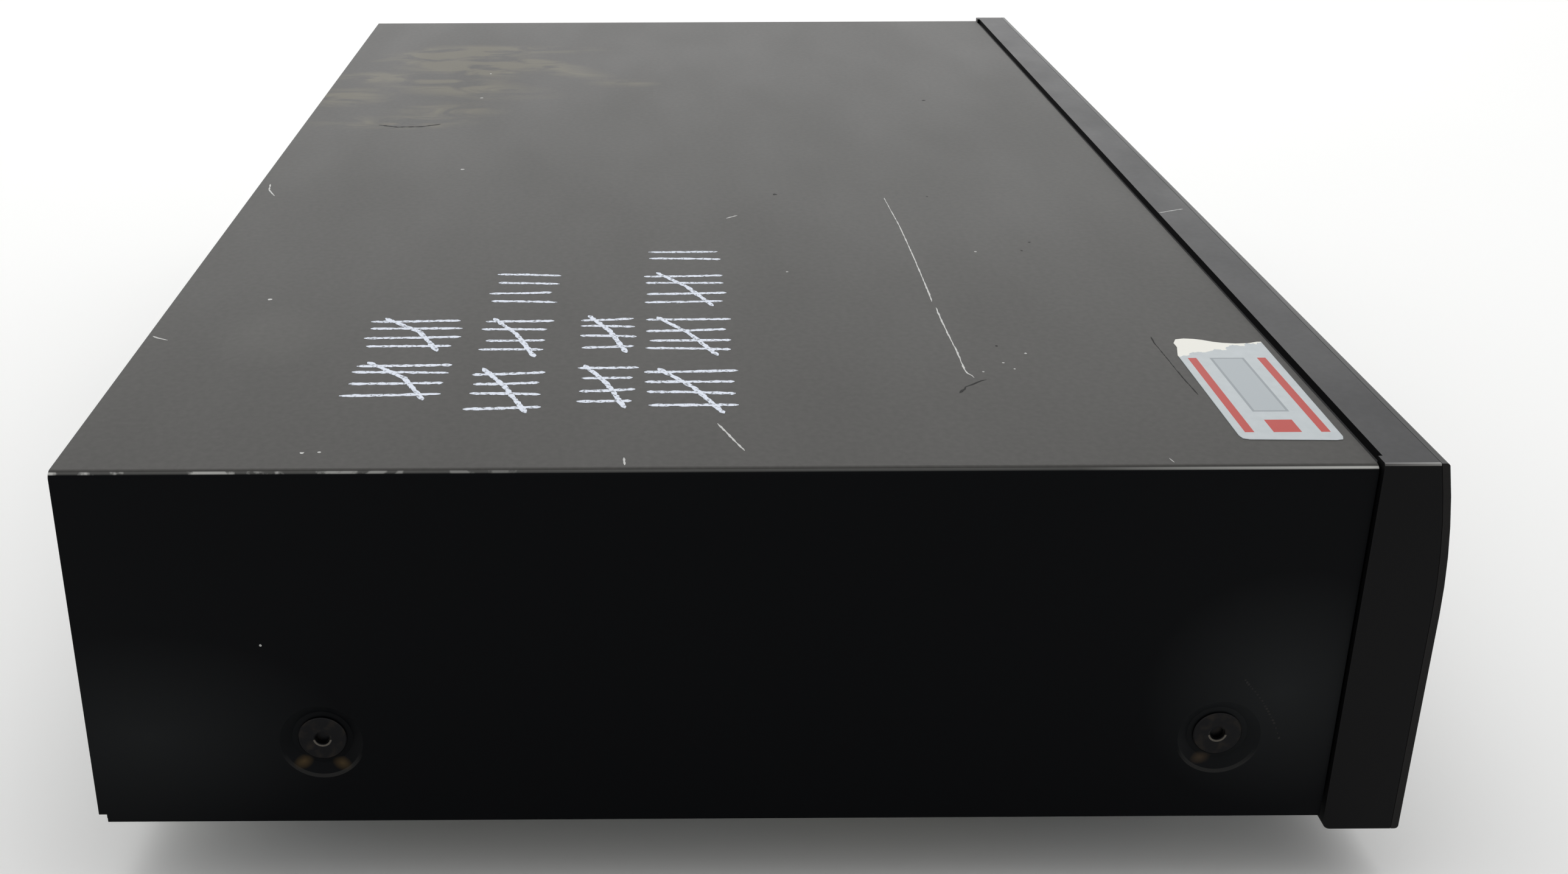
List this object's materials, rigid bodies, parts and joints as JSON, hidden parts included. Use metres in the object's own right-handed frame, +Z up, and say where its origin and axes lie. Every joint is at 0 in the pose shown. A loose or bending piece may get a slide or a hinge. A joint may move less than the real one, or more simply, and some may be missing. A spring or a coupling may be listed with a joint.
{
  "type": "disc player",
  "caption": "Full-width disc player with a steel cover, curved fascia, motor-driven tray, tilting disc drive, push keys and rear sockets.",
  "frame": {"origin": "on the floor, under the middle of the whole player", "axes": "+Z up; the front looks along -Y; +X is to the right of someone who faces the front"},
  "size_m": [0.436, 0.297, 0.1052],
  "materials": {
    "painted_steel": "fine textured satin black paint",
    "plated_steel": "zinc-plated pressed sheet",
    "fascia_plastic": "fine grained black moulding",
    "plate_plastic": "smooth satin black",
    "smoked_window": "smoked clear plastic",
    "tube_glass": "dark display glass",
    "circuit_board": "green solder mask",
    "dark_moulding": "black moulding",
    "transformer": "ferrite and yellow tape",
    "capacitor_sleeve": "printed sleeve",
    "aluminium_part": "extruded, plain",
    "socket_metal": "nickel-plated",
    "rubber_part": "matt",
    "black_screw": "black oxide",
    "flat_cable": "white film over conductors",
    "white_gear": "natural acetal",
    "bright_rod": "ground steel",
    "pickup_casting": "die-cast",
    "lens_plastic": "clear lens in a dark holder",
    "key_plastic": "satin black cap"
  },
  "bodies": {
    "case": {"base_chassis": "plated_steel", "top_cover": "painted_steel", "rear_panel": "painted_steel", "fascia_frame": "fascia_plastic", "front_plate": "plate_plastic", "display_window": "smoked_window", "display_tube": "tube_glass", "front_board": "circuit_board", "key_switches": "dark_moulding", "usb_socket": "plated_steel", "power_supply_board": "circuit_board", "power_transformer": "transformer", "supply_capacitors": "capacitor_sleeve", "heat_sinks": "aluminium_part", "main_board": "circuit_board", "main_chips": "dark_moulding", "audio_board": "circuit_board", "audio_capacitors": "capacitor_sleeve", "analogue_sockets": "socket_metal", "digital_sockets": "socket_metal", "hdmi_socket": "plated_steel", "lan_socket": "plated_steel", "mains_inlet": "dark_moulding", "loader_frame": "dark_moulding", "loader_brackets": "plated_steel", "loading_motor": "plated_steel", "loading_belt": "rubber_part", "clamp_bridge": "plated_steel", "feet": "dark_moulding", "foot_pads": "rubber_part", "cover_screws": "black_screw", "chassis_screws": "plated_steel", "front_flat_cable": "flat_cable", "loader_flat_cable": "flat_cable"},
    "tray": {"disc_tray": "dark_moulding", "tray_door": "plate_plastic"},
    "tray_gear": {"tray_gear": "white_gear"},
    "pulley_gear": {"pulley_gear": "white_gear"},
    "motor_pulley": {"motor_pulley": "white_gear"},
    "traverse": {"traverse_frame": "dark_moulding", "deck_plate": "plated_steel", "rubber_bushes": "rubber_part", "bush_screws": "plated_steel", "spindle_motor": "plated_steel", "guide_rods": "bright_rod", "sled_motor": "plated_steel"},
    "turntable": {"turntable": "dark_moulding"},
    "pickup": {"optical_pickup": "pickup_casting"},
    "lens": {"objective_lens": "lens_plastic"},
    "lead_screw": {"lead_screw": "bright_rod"},
    "cam_slider": {"cam_slider": "white_gear"},
    "clamper": {"clamper": "dark_moulding", "clamper_magnet": "bright_rod"},
    "power_button": {"power_button": "key_plastic"},
    "open_close_key": {"open_close_key": "key_plastic"},
    "play_key": {"play_key": "key_plastic"},
    "pause_key": {"pause_key": "key_plastic"},
    "stop_key": {"stop_key": "key_plastic"},
    "skip_back_key": {"skip_back_key": "key_plastic"},
    "skip_forward_key": {"skip_forward_key": "key_plastic"}
  },
  "joints": [
    {"name": "tray_slide", "type": "slide", "parent": "case", "child": "tray", "axis": [0, -1, 0], "range_m": [0, 0.134]},
    {"name": "tray_gear_spin", "type": "hinge", "parent": "case", "child": "tray_gear", "pos_m": [-0.044, -0.112, 0.0671], "axis": [0, 0, 1], "range_deg": [0, 512]},
    {"name": "pulley_gear_spin", "type": "hinge", "parent": "case", "child": "pulley_gear", "pos_m": [-0.02414, -0.11884, 0.062], "axis": [0, 0, 1], "range_deg": [-1280, 0]},
    {"name": "motor_pulley_spin", "type": "hinge", "parent": "case", "child": "motor_pulley", "pos_m": [0.022, -0.1185, 0.058], "axis": [0, 0, 1], "range_deg": [-4035, 0]},
    {"name": "traverse_tilt", "type": "hinge", "parent": "case", "child": "traverse", "pos_m": [0, 0.036, 0.059], "axis": [1, 0, 0], "range_deg": [0, 6]},
    {"name": "cam_slide", "type": "slide", "parent": "case", "child": "cam_slider", "axis": [-1, 0, 0], "range_m": [0, 0.022]},
    {"name": "turntable_spin", "type": "hinge", "parent": "traverse", "child": "turntable", "pos_m": [0, -0.074, 0.072], "axis": [0, 0, 1], "continuous": true},
    {"name": "clamper_spin", "type": "hinge", "parent": "case", "child": "clamper", "pos_m": [0, -0.074, 0.082], "axis": [0, 0, 1], "continuous": true},
    {"name": "pickup_slide", "type": "slide", "parent": "traverse", "child": "pickup", "axis": [0, 1, 0], "range_m": [0, 0.035]},
    {"name": "lead_screw_spin", "type": "hinge", "parent": "traverse", "child": "lead_screw", "pos_m": [0.036, -0.03, 0.0586], "axis": [0, 1, 0], "range_deg": [-4201, 0]},
    {"name": "lens_focus", "type": "slide", "parent": "pickup", "child": "lens", "axis": [0, 0, 1], "range_m": [-0.0008, 0.0008], "stiffness_N_per_m": 120},
    {"name": "power_button_press", "type": "slide", "parent": "case", "child": "power_button", "axis": [0, 1, 0], "range_m": [0, 0.0006], "stiffness_N_per_m": 1000},
    {"name": "open_close_key_press", "type": "slide", "parent": "case", "child": "open_close_key", "axis": [0, 1, 0], "range_m": [0, 0.0006], "stiffness_N_per_m": 1000},
    {"name": "play_key_press", "type": "slide", "parent": "case", "child": "play_key", "axis": [0, 1, 0], "range_m": [0, 0.0006], "stiffness_N_per_m": 1000},
    {"name": "pause_key_press", "type": "slide", "parent": "case", "child": "pause_key", "axis": [0, 1, 0], "range_m": [0, 0.0006], "stiffness_N_per_m": 1000},
    {"name": "stop_key_press", "type": "slide", "parent": "case", "child": "stop_key", "axis": [0, 1, 0], "range_m": [0, 0.0006], "stiffness_N_per_m": 1000},
    {"name": "skip_back_key_press", "type": "slide", "parent": "case", "child": "skip_back_key", "axis": [0, 1, 0], "range_m": [0, 0.0006], "stiffness_N_per_m": 1000},
    {"name": "skip_forward_key_press", "type": "slide", "parent": "case", "child": "skip_forward_key", "axis": [0, 1, 0], "range_m": [0, 0.0006], "stiffness_N_per_m": 1000}
  ],
  "couplings": [
    {"joint": "tray_gear_spin", "follows": "tray_slide", "rad_per_m": 66.667},
    {"joint": "pulley_gear_spin", "follows": "tray_slide", "rad_per_m": -166.67},
    {"joint": "motor_pulley_spin", "follows": "tray_slide", "rad_per_m": -517.97},
    {"joint": "cam_slide", "follows": "traverse_tilt", "m_per_rad": 0.21008},
    {"joint": "clamper_spin", "follows": "turntable_spin", "ratio": 1},
    {"joint": "lead_screw_spin", "follows": "pickup_slide", "rad_per_m": -2094.4}
  ]
}
